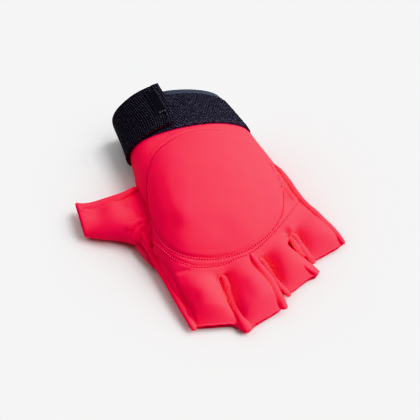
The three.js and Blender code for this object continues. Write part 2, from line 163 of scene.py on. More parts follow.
THUMB_VOXEL = 0.65
THUMB_SMOOTHING = 50
THUMB_TUCK = 7.0  # how far the thumb's root reaches in under the cover
# Round swells and hollows of the thumb, as the cover's
THUMB_SWELLS = (
    (-60, 18.5, 8, 1.6), (-68, 29.5, 6, -1.6), (-45.5, 26, 8, -4), (-45, 14, 6.5, -3.2),
    (-49.5, 32, 5, -1.6),
)
THUMB_CREASES = {
    "rim_line": {
        "knots": ((-76, 40), (-71, 35.4), (-64.5, 33.4), (-58.2, 31.5), (-51.9, 29.6), (-46, 29.4),
                  (-40, 30.4)),
        "depth": 1.0, "width": 0.8, "shoulder": 0.3, "fade": 3,
    },
    "lower_crease": {
        "knots": ((-57, 6.6), (-53, 6.6), (-48, 8.6)),
        "depth": 1.8, "width": 1.2, "shoulder": 0.8, "fade": 3,
    },
    "root_valley": {
        "knots": ((-51.5, -1), (-50, 2.4), (-47.5, 5), (-44, 8.5)),
        "depth": 2.2, "width": 1.8, "shoulder": 0.8, "fade": 3,
    },
}
FLOOR_GAP = 0.05  # the least height of a roll's surface
BLUNT_END = 0.35  # how far along its end a roll is rounded, as a share of its radius
# The rolled edges. Most run from the top of a slot, or from the wrist's end, to a mouth.
ROLLED_EDGES = {
    "thumb_web": {
        "knots": ((-47.4, 6, 14.4), (-46.6, 0, 13), (-46, -5, 11.4), (-45.4, -10.5, 9.6)),
        "radius": (1.4, 2.5, 2.5, 1.3),
    },
    "index_outer_roll": {
        "knots": ((-49.6, 4, 10.2), (-48.2, -1.5, 10.8), (-47.2, -6.5, 10.4), (-46.9, -13, 9.4),
                  (-46.4, -22, 8.9), (-45.5, -33.3, 8.8), (-44.9, -45.1, 8.1), (-44.1, -57.1, 6.9),
                  (-43.1, -67.4, 5.4), (-42.7, -71, 4.4)),
        "radius": (1.2, 2.4, 2.3, 2.1, 2.1, 2.1, 2.1, 2, 1.9, 1.8),
    },
    "index_inner_roll": {
        "knots": ((-13.4, -48.2, 14.8), (-16, -47.6, 16.8), (-17.9, -48.6, 15), (-18.2, -52.4, 12.5),
                  (-16.9, -57.6, 9.6), (-15.4, -66.3, 7.2), (-15.3, -72.4, 6.2), (-16, -78, 5),
                  (-17.2, -81.4, 3.4)),
        "radius": (0.7, 1.05, 1.1, 1.1, 1.1, 1.15, 1.2, 1.25, 1.2),
    },
    "middle_outer_roll": {
        "knots": ((-15, -47.4, 16), (-13.7, -49.9, 14.8), (-13.6, -54.6, 13.2), (-14.1, -59.6, 10.6),
                  (-14.4, -66.8, 8.2), (-14.3, -73.4, 7), (-13.6, -79.4, 5.4), (-13, -84.8, 3.8)),
        "radius": (1.0, 2.0, 2.3, 1.9, 1.7, 2.2, 3.1, 3.1), "flat": 0.75,
    },
    "middle_inner_roll": {
        "knots": ((6.6, -43.6, 21.6), (7.2, -47, 20.6), (8.4, -52.4, 19.3), (10, -57.2, 16.8),
                  (11.9, -60.6, 13.6), (12.8, -64.4, 11.2), (13.2, -69.9, 9.2), (13.6, -75.8, 7),
                  (13.9, -79.9, 4.8)),
        "radius": (0.8, 1.7, 2.2, 2.4, 2.5, 2.5, 2.5, 2.4, 2.0),
    },
    "ring_outer_roll": {
        "knots": ((11.6, -46.6, 17), (14.3, -46.9, 13.2), (15.7, -51, 10.8), (17, -58, 8.2),
                  (18.5, -65, 6.4), (20.2, -69.6, 4.8), (21, -72, 3.8)),
        "radius": (0.8, 1.4, 1.6, 1.6, 1.6, 1.6, 1.5),
    },
    "ring_inner_roll": {
        "knots": ((37.2, -36.4, 15.2), (34.4, -36.6, 17), (32.2, -39.4, 17.6), (31.6, -44.4, 17),
                  (32.6, -51, 15.6), (34.9, -56.4, 13), (37.4, -59.4, 10.8), (40, -61.8, 8.6),
                  (42.4, -63.8, 6.4), (44, -65.2, 4.8)),
        "radius": (0.8, 1, 1.1, 1.1, 1.15, 1.2, 1.3, 1.4, 1.5, 1.4),
    },
    "little_outer_roll": {
        "knots": ((38.6, -36.4, 14.6), (40.8, -37.8, 13.4), (42.2, -42.6, 10.6), (43.4, -48.8, 8.4),
                  (45, -53.6, 6.2), (46, -56.6, 4.7)),
        "radius": (1, 1.9, 2.1, 2, 1.8, 1.5),
    },
    "side_roll": {
        "knots": ((53, 19, 17.6), (54.3, 11, 18.4), (55.1, 2.5, 18.4), (55.6, -7, 17.8), (57, -14.2, 16),
                  (59.2, -20.4, 14.2), (62, -24.8, 12.2), (65, -32.4, 10.2), (67.6, -40.3, 8.8),
                  (69.2, -47.6, 7.2), (70, -51.8, 5.4)),
        "radius": (0.3, 1.2, 1.6, 1.7, 1.7, 1.7, 1.7, 1.6, 1.6, 1.5, 1.4),
    },
    "index_web": {
        "knots": ((-15.4, -46.4, 15), (-15.3, -50, 12.4), (-15.1, -55, 10), (-14.9, -61, 8)),
        "radius": (1.2, 1.9, 1.9, 1.3),
    },
    "little_web": {
        "knots": ((38.4, -36, 13.4), (38.8, -40, 11.6), (39.8, -45, 9.6), (42, -51, 7.4)),
        "radius": (1.5, 2.1, 2.1, 1.4),
    },
    "thumb_roll": {
        "knots": ((-77.4, 43, 11.6), (-73.4, 38.4, 12.8), (-69.4, 36.6, 13.4), (-63, 35.4, 14.4),
                  (-56.6, 34, 16), (-52.6, 33.8, 16.6), (-45.6, 34.6, 17.4), (-38, 36, 17.6)),
        "radius": (0.7, 1.3, 1.6, 1.7, 1.9, 2.3, 2.2, 2),
    },
}
# Each half finger: the middle of its knuckle line, its turn towards the little finger in degrees, how far it
# reaches and how far its mouth runs ahead for each millimetre towards the little finger.
FINGERS = (
    (-30, -40, 0, 34, 0.34),
    (-1.3, -40, 2.2, 41.8, -0.14),
    (23.3, -37, 17.5, 32.4, 0),
    (49, -27, 20.6, 28.4, 0.21),
)
FINGER_HALF = 13.5
FINGER_BLEND = 2.0  # over which the droop fades out beside a finger
LIP_LENGTH = 10.0  # how far from its mouth a finger's cover starts to droop
LIP_DROOP = 0.52
HEM_REACH = 11.0  # half the length of a mouth's hem
HEM_SINK = 0.45  # and how far it lies below the lip's surface
HEM_RADIUS = 0.8
PALM_FOLD = {
    "knots": ((-52, 5, 5.6), (-50.6, -1, 6.2), (-49.4, -7, 6.2), (-48.2, -13, 5.6), (-47, -18.6, 4.8)),
    "radius": (1.6, 2.7, 2.9, 2.6, 1.4),
}
# Pockets that the cover sinks into beside the slots: line, width and depth
POCKETS = (
    {"knots": ((35.2, -37), (35.4, -43), (36.6, -49.5), (38.6, -56)), "width": 2.6, "depth": 4.2},
)
# The middles of the three slots, which stay crisp when the cover is smoothed.
SLOTS = (
    ((-15.6, -46), (-15.2, -56), (-14.6, -66), (-15, -84)),
    ((11.4, -44.5), (12.8, -52), (14.8, -61), (17, -72), (19, -80)),
    ((37, -36), (38, -44), (40, -52), (43.6, -62), (47, -70)),
)

# Colours and finishes
COVER_RED = (0.94, 0.0, 0.05)
COVER_RED_WORN = (0.9, 0.0, 0.058)
COVER_ROUGHNESS = 0.75
PALM_SHEEN_TINT = (1, 0.55, 0.65)
COVER_GLOSS = 0.3
PALM_RED = (0.92, 0.02, 0.08)
PALM_SHADE = (0.52, 0.0, 0.02)
FLOOR_TONE = (0.83, 0.835, 0.833)

# The stage
FLOOR_SIDE = 6.0
ROOM_LIGHT = 0.14
# Each sun: its strength, then the side it shines from, its height and its spread in degrees, and whether it
# glints in the cloth
SUNS = (
    ("overhead", 1.5, 90, 54, 90, False),
    ("key", 4.25, -19, 47, 58, True),
)
CAMERA_AZIMUTH = -24.0
CAMERA_RISE = 53.0
CAMERA_AWAY = 0.68
CAMERA_LENS = 90.0
CAMERA_AIM = (np.array((0.0, 0.0, 12.0)) + HAND_IN_PART) * MM
FRAME_PIXELS = 420
AIM_PIXELS = (2.0, 5.0)


# Mesh helpers

def object_of(mesh, name):
    made = bpy.data.objects.new(name, mesh)
    bpy.context.collection.objects.link(made)
    return made


def object_from(work, name):
    """The form that a bmesh holds, as a new object."""
    mesh = bpy.data.meshes.new(name)
    work.to_mesh(mesh)
    work.free()
    return object_of(mesh, name)


def copy_of(nodes, name):
    """The solids of some CAD nodes as one new object, with their loose triangles merged."""
    work = bmesh.new()
    for node in nodes:
        work.from_mesh(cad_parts[node].data)
    bmesh.ops.remove_doubles(work, verts=work.verts, dist=SAME_POINT * MM)
    return object_from(work, name)


def apply_modifiers(piece):
    bpy.ops.object.select_all(action="DESELECT")
    bpy.context.view_layer.objects.active = piece
    piece.select_set(True)
    for modifier in list(piece.modifiers):
        bpy.ops.object.modifier_apply(modifier=modifier.name)
    piece.select_set(False)


def remeshed(piece, voxel):
    modifier = piece.modifiers.new("even faces", "REMESH")
    modifier.mode = "VOXEL"
    modifier.voxel_size = voxel * MM
    modifier.use_smooth_shade = True
    apply_modifiers(piece)


def rows_of(items, key, width, kind=float):
    """One property of all the items of a mesh, a row for each item."""
    flat = np.empty(len(items) * width, dtype=kind)
    items.foreach_get(key, flat)
    return flat.reshape(-1, width)


def points_of(piece):
    """A piece's vertices in the hand's frame, in millimetres."""
    return rows_of(piece.data.vertices, "co", 3) / MM - HAND_IN_PART


def put_points(piece, points):
    piece.data.vertices.foreach_set("co", ((points + HAND_IN_PART) * MM).ravel())
    piece.data.update()


def normals_of(piece):
    return rows_of(piece.data.vertex_normals, "vector", 3)


def edges_of(piece):
    return rows_of(piece.data.edges, "vertices", 2, np.int64)


def smoothed(points, edges, rounds, weight=0.5):
    """Each point moves towards the mean of its neighbours, by its weight, once a round."""
    count = len(points)
    ends = np.concatenate((edges[:, 0], edges[:, 1]))
    others = np.concatenate((edges[:, 1], edges[:, 0]))
    share = (weight / np.bincount(ends, minlength=count))[:, None] * np.ones((1, 3))
    for _ in range(rounds):
        reached = points[others]
        total = np.stack([np.bincount(ends, reached[:, axis], count) for axis in range(3)], axis=1)
        keep = 1 - (share * np.bincount(ends, minlength=count)[:, None])
        points = points * keep + total * share
    return points


def lengths_along(line):
    """How far along a line each of its points lies."""
    return np.concatenate(([0], np.cumsum(np.linalg.norm(np.diff(line, axis=0), axis=1))))


def smooth_route(knots, count, closed=False):
    """A centripetal Catmull-Rom line through the knots, as evenly spaced points."""
    knots = np.array(knots, float)
    if closed:
        padded = np.concatenate((knots[-1:], knots, knots[:2]))
    else:
        padded = np.concatenate((2 * knots[:1] - knots[1:2], knots, 2 * knots[-1:] - knots[-2:-1]))
    fine = []
    for a, b, c, d in zip(padded, padded[1:], padded[2:], padded[3:]):
        times = np.cumsum([0] + [np.linalg.norm(q - p) ** 0.5 for p, q in ((a, b), (b, c), (c, d))])
        t = np.linspace(times[1], times[2], 24, endpoint=False)[:, None]
        ab = a + (b - a) * (t - times[0]) / (times[1] - times[0])
        bc = b + (c - b) * (t - times[1]) / (times[2] - times[1])
        cd = c + (d - c) * (t - times[2]) / (times[3] - times[2])
        abc = ab + (bc - ab) * (t - times[0]) / (times[2] - times[0])
        bcd = bc + (cd - bc) * (t - times[1]) / (times[3] - times[1])
        fine.append(abc + (bcd - abc) * (t - times[1]) / (times[2] - times[1]))
    fine.append(padded[-2][None] if not closed else padded[1][None])
    fine = np.concatenate(fine)
    length = lengths_along(fine)
    places = np.linspace(0, length[-1], count + 1)
    return np.stack([np.interp(places, length, fine[:, axis]) for axis in range(fine.shape[1])], axis=1)


def beside(points, route):
    """How far each point lies from a route in plan, positive on its left, and how far along it."""
    plan = points[:, :2]
    best = np.full(len(plan), np.inf)
    side = np.ones(len(plan))
    along = np.zeros(len(plan))
    start = 0.0
    for a, b in zip(route[:-1, :2], route[1:, :2]):
        step = b - a
        length = np.linalg.norm(step)
        share = np.clip((plan - a) @ step / length ** 2, 0, 1)
        away = plan - a - share[:, None] * step
        gap = np.linalg.norm(away, axis=1)
        closer = gap < best
        best[closer] = gap[closer]
        side[closer] = np.sign(step[0] * away[closer, 1] - step[1] * away[closer, 0])
        along[closer] = start + share[closer] * length
        start += length
    return best * np.where(side == 0, 1, side), along


def met_from_above(tree, x, y):
    """The first place that a line straight down meets on a surface, and the surface's direction there."""
    start = Vector((np.array((x, y, FAR)) + HAND_IN_PART) * MM)
    return tree.ray_cast(start, Vector((0, 0, -1)))[:2]


def bump(distance, width):
    return np.exp(-(distance / width) ** 2)


def ramp(value, low, high):
    share = np.clip((value - low) / (high - low), 0, 1)
    return share * share * (3 - 2 * share)


# Materials

def shader_of(name, roughness, sheen=0.0, sheen_tint=(1, 1, 1), gloss=0.5):
    """A new material's node tree and its shader, with the values that are the same all over it."""
    made = bpy.data.materials.new(name)
    made.use_nodes = True
    shader = made.node_tree.nodes["Principled BSDF"]
    shader.inputs["Roughness"].default_value = roughness
    shader.inputs["Sheen Weight"].default_value = sheen
    shader.inputs["Sheen Roughness"].default_value = 0.4
    shader.inputs["Sheen Tint"].default_value = (*sheen_tint, 1)
    shader.inputs["Specular IOR Level"].default_value = gloss
    return made, made.node_tree, shader


def node_of(tree, kind, **values):
    """A node with its settings, and its inputs by their names with spaces as underscores."""
    node = tree.nodes.new(kind)
    for key, value in values.items():
        if hasattr(node, key):
            setattr(node, key, value)
        else:
            node.inputs[key.replace("_", " ")].default_value = value
    return node


def speckle(tree, place, scale, detail=2.0):
    noise = node_of(tree, "ShaderNodeTexNoise", Scale=scale, Detail=detail)
    tree.links.new(place, noise.inputs["Vector"])
    return noise.outputs["Fac"]


def threads(tree, place, pitch, turn, uneven=0.0):
    """Raised threads side by side, a pitch apart, turned in the plane of the cloth."""
    turned = node_of(tree, "ShaderNodeMapping")
    turned.inputs["Rotation"].default_value[2] = math.radians(turn)
    wave = node_of(tree, "ShaderNodeTexWave", Scale=math.pi / 10 / pitch, Distortion=uneven, Detail_Scale=3)
    tree.links.new(place, turned.inputs["Vector"])
    tree.links.new(turned.outputs["Vector"], wave.inputs["Vector"])
    return wave.outputs["Fac"]


def blend_of(tree, share, one, two):
    mix = tree.nodes.new("ShaderNodeMix")
    mix.data_type = "RGBA"
    tree.links.new(share, mix.inputs["Factor"])
    for socket, value in ((mix.inputs[6], one), (mix.inputs[7], two)):
        if isinstance(value, tuple):
            socket.default_value = (*value, 1)
        else:
            tree.links.new(value, socket)
    return mix.outputs[2]


def sum_of(tree, parts):
    """Heights added up, each with its share."""
    total = None
    for height, share in parts:
        scaled = node_of(tree, "ShaderNodeMath", operation="MULTIPLY_ADD")
        tree.links.new(height, scaled.inputs[0])
        scaled.inputs[1].default_value = share
        if total is None:
            scaled.inputs[2].default_value = 0
        else:
            tree.links.new(total, scaled.inputs[2])
        total = scaled.outputs[0]
    return total


def raise_surface(tree, shader, height, depth):
    relief = node_of(tree, "ShaderNodeBump", Strength=1.0, Distance=depth)
    tree.links.new(height, relief.inputs["Height"])
    tree.links.new(relief.outputs["Normal"], shader.inputs["Normal"])


def contrast(tree, value, low, high):
    steps = node_of(
        tree, "ShaderNodeMapRange", interpolation_type="SMOOTHSTEP", From_Min=low, From_Max=high,
    )
    tree.links.new(value, steps.inputs["Value"])
    return steps.outputs["Result"]


def stretch_cover():
    """Smooth matte stretch cloth over foam, with a hardly visible knit."""
    made, tree, shader = shader_of("cover_fabric", COVER_ROUGHNESS, gloss=COVER_GLOSS)
    place = tree.nodes.new("ShaderNodeTexCoord").outputs["Object"]
    blotches = contrast(tree, speckle(tree, place, 45, 3), 0.35, 0.7)
    grain = speckle(tree, place, 1500, 2)
    tone = blend_of(tree, blotches, COVER_RED, COVER_RED_WORN)
    tree.links.new(tone, shader.inputs["Base Color"])
    knit = threads(tree, place, 0.55 * MM, 38, 0.6)
    cross = threads(tree, place, 0.55 * MM, -52, 0.6)
    raise_surface(tree, shader, sum_of(tree, ((grain, 0.6), (knit, 0.2), (cross, 0.2))), 0.05 * MM)
    return made


def knitted_palm():
    """A coarser knitted mesh, with painted shade in the small holes between its loops."""
    made, tree, shader = shader_of("palm_fabric", 0.65, 0.1, PALM_SHEEN_TINT)
    place = tree.nodes.new("ShaderNodeTexCoord").outputs["Object"]
    wales = threads(tree, place, 1.15 * MM, 20, 1.2)
    courses = threads(tree, place, 0.95 * MM, 105, 1.2)
    loops = sum_of(tree, ((wales, 0.5), (courses, 0.5)))
    # The holes between the loops take the darker PALM_SHADE: painted shade
    holes = contrast(tree, loops, 0.2, 0.5)
    tone = blend_of(tree, holes, PALM_SHADE, PALM_RED)
    tree.links.new(tone, shader.inputs["Base Color"])
    raise_surface(tree, shader, loops, 0.3 * MM)
    return made


def cloth_by_length(
    name, dark, light, roughness, sheen, tint, weave, depth, speck=(900, 0.45, 0.7), gloss=0.3,
    crisp=(0.0, 1.0),
):
    """A woven or knitted cloth that follows the piece's own UV map, in millimetres along and across."""
    made, tree, shader = shader_of(name, roughness, sheen, tint, gloss)
    cloth = tree.nodes.new("ShaderNodeUVMap")
    cloth.uv_map = "cloth"
    place = cloth.outputs["UV"]
    heights = [(threads(tree, place, pitch, turn, 0.8), share) for pitch, turn, share in weave]
    relief = sum_of(tree, heights)
    specks = contrast(tree, speckle(tree, place, speck[0] / 1000, 2), speck[1], speck[2])
    height = sum_of(tree, ((relief, 0.75), (specks, 0.25)))
    # The colour follows the relief: painted shade down between the threads and painted light on their
    # crests, mixed with random lighter specks
    tone = blend_of(tree, contrast(tree, height, *crisp), dark, light)
    tree.links.new(tone, shader.inputs["Base Color"])
    raise_surface(tree, shader, height, depth)
    return made


def thread_by_length(name, dark, light, roughness, sheen, speck=(900, 0.45, 0.7), gloss=0.3):
    """Sewing thread, with its fine twist."""
    twist = ((0.2, 30, 1.0),)
    return cloth_by_length(
        name, dark, light, roughness, sheen, (1, 1, 1), twist, 0.02 * MM, speck, gloss,
    )


def floor_paint():
    made, _, shader = shader_of("floor_paint", 0.9)
    shader.inputs["Base Color"].default_value = (*FLOOR_TONE, 1)
    return made


cover_fabric = stretch_cover()
palm_fabric = knitted_palm()
cuff_fabric = cloth_by_length(
    "cuff_fabric", (0.028, 0.032, 0.048), (0.066, 0.076, 0.108), 0.6, 0.05, (0.6, 0.7, 1),
    ((0.5, 0, 0.5), (0.5, 90, 0.5)), 0.06 * MM,
)
loop_fabric = cloth_by_length(
    "loop_fabric", (0.009, 0.0086, 0.0135), (0.118, 0.112, 0.148), 0.85, 0.1, (0.6, 0.6, 0.8),
    ((1.5, 34, 0.5), (1.2, 78, 0.5)), 0.2 * MM, (1100, 0.42, 0.7), 0.2, (0.3, 0.8),
)
elastic = cloth_by_length(
    "elastic", (0.008, 0.008, 0.0105), (0.098, 0.093, 0.108), 0.75, 0.0, (1, 1, 1),
    ((1.5, 8, 0.5), (1.25, 68, 0.5)), 0.3 * MM, (700, 0.4, 0.8), 0.15, (0.42, 0.82),
)
hook_tape = cloth_by_length(
    "hook_tape", (0.006, 0.006, 0.008), (0.03, 0.03, 0.036), 0.45, 0.0, (1, 1, 1),
    ((1.3, 0, 0.5), (1.3, 90, 0.5)), 0.25 * MM,
)
label_fabric = cloth_by_length(
    "label_fabric", (0.012, 0.0118, 0.0145), (0.022, 0.0216, 0.0255), 0.35, 0.1, (0.8, 0.8, 1),
    ((0.3, 45, 0.6), (0.5, 90, 0.4)), 0.05 * MM, (500, 0.4, 0.8),
)
pale_thread = thread_by_length("pale_thread", (0.2, 0.19, 0.22), (0.55, 0.54, 0.58), 0.6, 0.1)
dark_thread = thread_by_length("dark_thread", (0.02, 0.02, 0.03), (0.11, 0.11, 0.13), 0.6, 0.1)
# Dark red for the needle holes: painted shade
hole_shade = thread_by_length(
    "needle_hole_shade", (0.3, 0.0, 0.012), (0.42, 0.0, 0.02), 1.0, 0.0, (1500, 0.42, 0.7), 0.0,
)
red_thread = thread_by_length(
    "red_thread", (1.0, 0.06, 0.15), (1.0, 0.14, 0.24), 0.8, 0.0, (1500, 0.42, 0.7), 0.1,
)


# Pieces

def crease_moves(points, knots, depth, width, shoulder, closed=False, fade=0.0):
    """How far a crease moves each point outwards."""
    route = smooth_route(knots, 120 if closed else 60, closed)
    away, along = beside(points, route)
    length = np.linalg.norm(np.diff(route[:, :2], axis=0), axis=1).sum()
    share = np.ones(len(points))
    if fade:
        share = ramp(along, 0.01, fade) * ramp(length - along, 0.01, fade)
    raised = bump(away - 2.3 * width, 1.4 * width) + bump(away + 2.3 * width, 1.4 * width)
    return share * (shoulder * raised - depth * bump(away, width))


def add_relief(move, points, swells, creases):
    """Adds round swells and creases to how far each point moves outwards."""
    for x, y, size, height in swells:
        move += height * bump(np.hypot(points[:, 0] - x, points[:, 1] - y), size)
    for crease in creases.values():
        move += crease_moves(points, **crease)


def thumb_side_ridge(points):
    """The cover's edge that stands up outside the pad's seam on the thumb's side."""
    away, _ = beside(points, smooth_route(PAD_OUTLINE, 120, closed=True))
    share = ramp(-points[:, 0], 30, 37) * ramp(points[:, 1], -30, -18) * (1 - ramp(points[:, 1], 30, 42))
    return 0.9 * share * bump(away - 3, 1.8)


def unevenness(points, size, height, seed):
    """Gentle lumps, as foam under a cover has, from a few crossed waves."""
    draw = np.random.default_rng(seed)
    total = np.zeros(len(points))
    for _ in range(9):
        direction = draw.normal(size=3)
        direction /= np.linalg.norm(direction)
        wave = size * draw.uniform(0.6, 1.5)
        total += np.sin(points @ direction * 2 * math.pi / wave + draw.uniform(0, 2 * math.pi))
    return height * total / 3


def finger_axes(turn):
    """The directions along and across a half finger, in plan, by its turn in degrees."""
    turn = math.radians(turn)
    return np.array((math.sin(turn), -math.cos(turn))), np.array((math.cos(turn), math.sin(turn)))


def drooped(points):
    """The covers of the fingers come down at their mouths, and the cover sinks in beside the slots."""
    points = points.copy()
    height = points[:, 2] - SEAM_HEIGHT
    sink = np.zeros(len(points))
    for x, y, turn, reach, slant in FINGERS:
        ahead, aside = finger_axes(turn)
        step = points[:, :2] - (x, y)
        across = step @ aside
        mouth = reach + slant * across
        share = ramp(step @ ahead, mouth - LIP_LENGTH, mouth)
        share = share * (1 - ramp(np.abs(across), FINGER_HALF, FINGER_HALF + FINGER_BLEND))
        sink = np.maximum(sink, LIP_DROOP * share)
    points[:, 2] -= np.where(height > 0, height * sink, 0)
    for pocket in POCKETS:
        route = smooth_route(pocket["knots"], 30)
        away, _ = beside(points, route)
        points[:, 2] -= pocket["depth"] * bump(away, pocket["width"]) * ramp(height, 1, 7)
    return points


def lapped(points):
    """The cover's wrist edge reaches a little over the cuff."""
    points = points.copy()
    beyond = points[:, 1] - (CUFF_EDGE[0] + CUFF_EDGE[1] * points[:, 0])
    lap = CUFF_LAP + THUMB_SIDE_LAP * ramp(-points[:, 0], 8, 32)
    points[:, 1] += lap * ramp(beyond, -14, -0.5)
    return points


def cover_shell():
    """The cover and the palm as one smooth form, with the seams pressed into it, before it is cut apart."""
    shell = copy_of(("back_panel", "finger_panel", "palm_panel", "back_pad"), "cover_shell")
    remeshed(shell, SHELL_VOXEL)
    points = points_of(shell)
    free = np.ones(len(points))
    for slot in SLOTS:
        away, _ = beside(points, smooth_route(slot, 20))
        free = np.minimum(free, ramp(np.abs(away), 2.2, 6))
    weight = 0.02 + 0.48 * free
    points = smoothed(points, edges_of(shell), SHELL_SMOOTHING, weight)
    put_points(shell, points)
    normals = normals_of(shell)
    upper = ramp(normals[:, 2], -0.15, 0.1) * ramp(points[:, 2], 5, 8)
    move = thumb_side_ridge(points) + unevenness(points, 26, 0.12, 3)
    add_relief(move, points, SWELLS, CREASES)
    points = points + normals * (upper * move)[:, None]
    put_points(shell, drooped(lapped(points)))
    return shell


def prism(outline, low, high, name):
    """An upright cutter over an outline in plan."""
    work = bmesh.new()
    foot = [work.verts.new((np.array((x, y, low)) + HAND_IN_PART) * MM) for x, y in outline]
    face = work.faces.new(foot)
    raised = bmesh.ops.extrude_face_region(work, geom=[face])
    tops = [item for item in raised["geom"] if isinstance(item, bmesh.types.BMVert)]
    bmesh.ops.translate(work, verts=tops, vec=(0, 0, (high - low) * MM))
    bmesh.ops.recalc_face_normals(work, faces=work.faces)
    return object_from(work, name)


def part_of(whole, cutter, name, operation="INTERSECT"):
    """The share of a form that lies in a cutter, or outside it."""
    made = object_of(whole.data.copy(), name)
    modifier = made.modifiers.new("cut", "BOOLEAN")
    modifier.operation = operation
    modifier.solver = "MANIFOLD"
    modifier.object = cutter
    apply_modifiers(made)
    return made


def drop(*pieces):
    for piece in pieces:
        bpy.data.objects.remove(piece)


def finished(piece, fabric, slot, *nodes):
    piece.data.materials.clear()
    piece.data.materials.append(fabric)
    piece.data.polygons.foreach_set("use_smooth", [True] * len(piece.data.polygons))
    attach(piece, "root")
    if nodes:
        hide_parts(*nodes)
    return piece


def cover_pieces():
    """The cover cut apart along its seams, with its threads, its hems and the fold of palm fabric."""
    shell = cover_shell()
    everywhere = ((-FAR, -FAR), (FAR, -FAR), (FAR, FAR), (-FAR, FAR))
    seam = [tuple(p) for p in smooth_route(KNUCKLE_SEAM, 90)]
    outline = [tuple(p) for p in smooth_route(PAD_OUTLINE, 120, closed=True)[:-1]]
    below = prism(everywhere, -FAR, SEAM_HEIGHT, "below")
    wrist_side = prism([*seam, (FAR, FAR), (-FAR, FAR)], SEAM_HEIGHT, FAR, "wrist_side")
    finger_side = prism([*seam, (FAR, -FAR), (-FAR, -FAR)], SEAM_HEIGHT, FAR, "finger_side")
    pad_column = prism(outline, SEAM_HEIGHT + 8, FAR, "pad_column")
    palm = part_of(shell, below, "palm")
    fingers = part_of(shell, finger_side, "finger_cover")
    back_and_pad = part_of(shell, wrist_side, "back_and_pad")
    pad = part_of(back_and_pad, pad_column, "dome_pad")
    back = part_of(back_and_pad, pad_column, "back_cover", "DIFFERENCE")
    drop(shell, below, wrist_side, finger_side, pad_column, back_and_pad)
    finished(back, cover_fabric, "cover_fabric", "back_panel")
    finished(fingers, cover_fabric, "cover_fabric", "finger_panel")
    finished(pad, cover_fabric, "cover_fabric", "back_pad")
    finished(palm, palm_fabric, "palm_fabric", "palm_panel")
    state = bpy.context.evaluated_depsgraph_get()
    seam_threads([BVHTree.FromObject(piece, state) for piece in (back, fingers, pad)])
    mouth_hems(fingers)
    rolled_edge("palm_fold", fabric=palm_fabric, **PALM_FOLD)


def rolled_edge(name, knots, radius, fabric=None, flat=0.88):
    """A fold of fabric rolled over along a line, with rounded ends."""
    steps = 64
    sides = 14
    line = smooth_route(knots, steps)
    knot_places = [int(np.argmin(np.linalg.norm(line - np.array(knot), axis=1))) for knot in knots]
    widths = np.interp(np.arange(steps + 1), knot_places, radius)
    travelled = lengths_along(line)
    to_end = np.minimum(travelled, (travelled[-1] - travelled) / BLUNT_END)
    rounding = np.sqrt(np.clip(1 - (1 - np.clip(to_end / widths, 0, 1)) ** 2, 0.002, 1))
    widths = widths * rounding
    ahead = np.gradient(line, axis=0)
    ahead /= np.linalg.norm(ahead, axis=1)[:, None]
    across = np.cross(ahead, (0, 0, 1))
    across /= np.linalg.norm(across, axis=1)[:, None]
    above = np.cross(across, ahead)
    work = bmesh.new()
    rings = []
    for place, width, side, up in zip(line, widths, across, above):
        ring = []
        for turn in range(sides):
            angle = 2 * math.pi * turn / sides
            point = place + width * (math.cos(angle) * side + flat * math.sin(angle) * up)
            point[2] = max(point[2], FLOOR_GAP)
            ring.append(work.verts.new((point + HAND_IN_PART) * MM))
        rings.append(ring)
    for one, two in zip(rings, rings[1:]):
        for turn in range(sides):
            after = (turn + 1) % sides
            work.faces.new((one[turn], one[after], two[after], two[turn]))
    work.faces.new(rings[0][::-1])
    work.faces.new(rings[-1])
    bmesh.ops.recalc_face_normals(work, faces=work.faces)
    slot = "palm_fabric" if fabric else "cover_fabric"
    return finished(object_from(work, name), fabric or cover_fabric, slot)


def mouth_hems(cover):
    """A thin hem along each half finger's upper lip."""
    shape = BVHTree.FromObject(cover, bpy.context.evaluated_depsgraph_get())
    for number, (x, y, turn, reach, slant) in enumerate(FINGERS):
        ahead, aside = finger_axes(turn)
        knots = []
        for across in np.linspace(-HEM_REACH, HEM_REACH, 13):
            for short in np.arange(-2, 8, 0.2):
                plan = np.array((x, y)) + (reach + slant * across - short) * ahead + across * aside
                place = met_from_above(shape, *plan)[0]
                if place is not None:
                    knots.append(np.array(place) / MM - HAND_IN_PART - (0, 0, HEM_SINK))
                    break
        rolled_edge(f"mouth_hem_{number + 1}", knots, [HEM_RADIUS] * len(knots))


def thumb_piece():
    """The thumb, smoothed, creased and tucked in under the cover at its root."""
    thumb = copy_of(("thumb_stall",), "thumb")
    remeshed(thumb, THUMB_VOXEL)
    points = smoothed(points_of(thumb), edges_of(thumb), THUMB_SMOOTHING)
    put_points(thumb, points)
    normals = normals_of(thumb)
    upper = ramp(normals[:, 2], -0.1, 0.3) * ramp(points[:, 2], 4, 8)
    move = np.zeros(len(points))
    add_relief(move, points, THUMB_SWELLS, THUMB_CREASES)
    points = points + normals * (upper * move)[:, None]
    points[:, 0] += THUMB_TUCK * (1 - ramp(-points[:, 0], 40, 56))
    put_points(thumb, points)
    finished(thumb, cover_fabric, "cover_fabric", "thumb_stall")


# The wrist's bands, as sheets laid round its cross-section

WRIST_FITS = {key: np.polyfit(WRIST["y"], row, 3) for key, row in WRIST.items() if key != "y"}


def wrist_section(turn, y, off):
    """The x and z of places round the wrist, in turns from the little finger's side, standing off it."""
    at = {key: np.polyval(fit, y) for key, fit in WRIST_FITS.items()}
    left, right, top = at["left"] - off, at["right"] + off, at["top"] + off
    low = np.maximum(0, at["floor"]) - off
    widest = np.maximum(at["widest"], low + 1.5)
    across, up = np.cos(turn * 2 * math.pi), np.sin(turn * 2 * math.pi)
    power = np.where(across > 0, 2, at["steep"])
    half = np.where(across > 0, right - at["crown"], at["crown"] - left)
    over_x = at["crown"] + np.sign(across) * half * np.abs(across) ** (2 / power)
    over_z = widest + (top - widest) * np.abs(up) ** (2 / power)
    under_x = (left + right) / 2
    under_x = under_x + np.sign(across) * (right - left) / 2 * np.abs(across) ** (2 / at["under"])
    under_z = np.maximum(low, widest - (widest - low) * 1.06 * np.abs(up) ** (2 / at["under"]))
    above = up >= 0
    return np.where(above, over_x, under_x), np.where(above, over_z, under_z)


